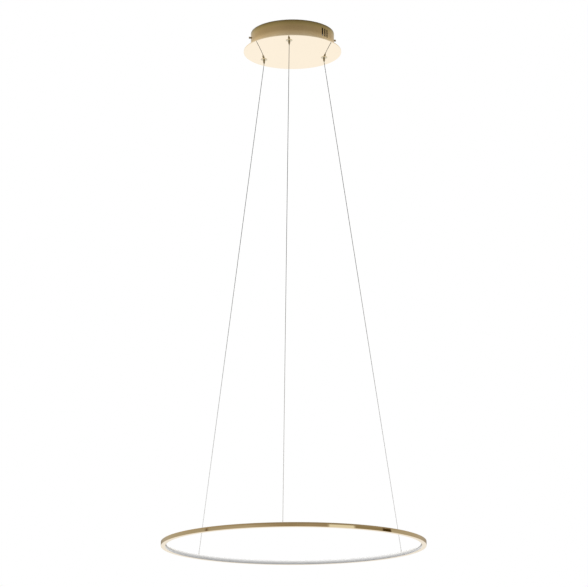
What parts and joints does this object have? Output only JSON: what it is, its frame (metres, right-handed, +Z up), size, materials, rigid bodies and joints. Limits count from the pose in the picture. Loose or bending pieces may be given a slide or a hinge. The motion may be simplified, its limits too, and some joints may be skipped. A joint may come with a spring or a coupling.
{
  "type": "ring chandelier",
  "caption": "Slim gold hoop with an opal inner light band, hung on three taut cables from a round drum canopy with a wide polished disc.",
  "frame": {"origin": "centre of the ceiling bracket's top face, on the ceiling plane", "axes": "+Z up, away from the lamp and into the ceiling; X along the bracket; the lamp hangs at negative Z"},
  "size_m": [0.78, 0.7798, 1.5985],
  "materials": {
    "mirror_gold": "mirror-polished, gold anodised",
    "brushed_gold": "fine satin-brushed, gold plated",
    "ring_gold": "polished, gold anodised",
    "gripper_brass": "turned, gold plated",
    "dark_gold_screw": "turned, darkened gold",
    "zinc_steel": "zinc plated",
    "spring_steel": "drawn spring wire",
    "cable_steel": "stranded, clear sheathed",
    "opal_diffuser": "satin opal, unlit",
    "strip_white": "white solder mask",
    "chip_phosphor": "cured silicone over phosphor",
    "driver_white": "fine moulded texture",
    "board_green": "solder mask",
    "component_dark": "moulded",
    "block_nylon": "moulded nylon",
    "lead_brown": "extruded sleeve",
    "lead_blue": "extruded sleeve",
    "lead_green": "extruded sleeve, striped yellow",
    "lead_red": "extruded sleeve",
    "lead_black": "extruded sleeve",
    "tinned_copper": "pressed, tinned"
  },
  "bodies": {
    "canopy": {"cable_end_sleeves": "tinned_copper", "cable_ends": "cable_steel", "canopy_disc": "mirror_gold", "canopy_drum": "brushed_gold", "ceiling_bracket": "zinc_steel", "disc_nuts": "zinc_steel", "disc_studs": "zinc_steel", "driver_base": "driver_white", "driver_board": "board_green", "driver_components": "component_dark", "driver_cover": "driver_white", "earth_lead": "lead_green", "earth_tag": "tinned_copper", "gripper_bodies": "gripper_brass", "gripper_caps": "gripper_brass", "gripper_nuts": "gripper_brass", "gripper_spring_1": "spring_steel", "gripper_spring_2": "spring_steel", "gripper_spring_3": "spring_steel", "live_lead": "lead_brown", "negative_feed_lead": "lead_black", "neutral_lead": "lead_blue", "positive_feed_lead": "lead_red", "side_screws": "dark_gold_screw", "suspension_cable_1": "cable_steel", "suspension_cable_2": "cable_steel", "suspension_cable_3": "cable_steel", "terminal_block": "block_nylon", "terminal_block_screw": "zinc_steel", "terminal_clamp_screws": "zinc_steel"},
    "ring": {"ring_half_right": "ring_gold", "ring_half_left": "ring_gold", "ring_diffuser": "opal_diffuser", "light_strip": "strip_white", "light_chips": "chip_phosphor", "splice_plates": "zinc_steel", "splice_screws": "dark_gold_screw", "cable_ferrules": "gripper_brass", "ferrule_nuts": "gripper_brass", "feed_contacts": "tinned_copper", "ferrule_washer": "tinned_copper"},
    "plunger_1": {"release_plunger_1": "gripper_brass", "gripper_balls_1": "zinc_steel"},
    "plunger_2": {"release_plunger_2": "gripper_brass", "gripper_balls_2": "zinc_steel"},
    "plunger_3": {"release_plunger_3": "gripper_brass", "gripper_balls_3": "zinc_steel"}
  },
  "joints": [
    {"name": "height_adjust", "type": "slide", "parent": "canopy", "child": "ring", "axis": [0, 0, 1], "range_m": [0, 1.1], "deforming": ["suspension_cable_1", "suspension_cable_2", "suspension_cable_3"]},
    {"name": "release_1", "type": "slide", "parent": "canopy", "child": "plunger_1", "axis": [0, 0, 1], "range_m": [0, 0.002], "stiffness_N_per_m": 300, "springref_m": -0.004, "deforming": ["gripper_spring_1"]},
    {"name": "release_2", "type": "slide", "parent": "canopy", "child": "plunger_2", "axis": [0, 0, 1], "range_m": [0, 0.002], "stiffness_N_per_m": 300, "springref_m": -0.004, "deforming": ["gripper_spring_2"]},
    {"name": "release_3", "type": "slide", "parent": "canopy", "child": "plunger_3", "axis": [0, 0, 1], "range_m": [0, 0.002], "stiffness_N_per_m": 300, "springref_m": -0.004, "deforming": ["gripper_spring_3"]}
  ]
}
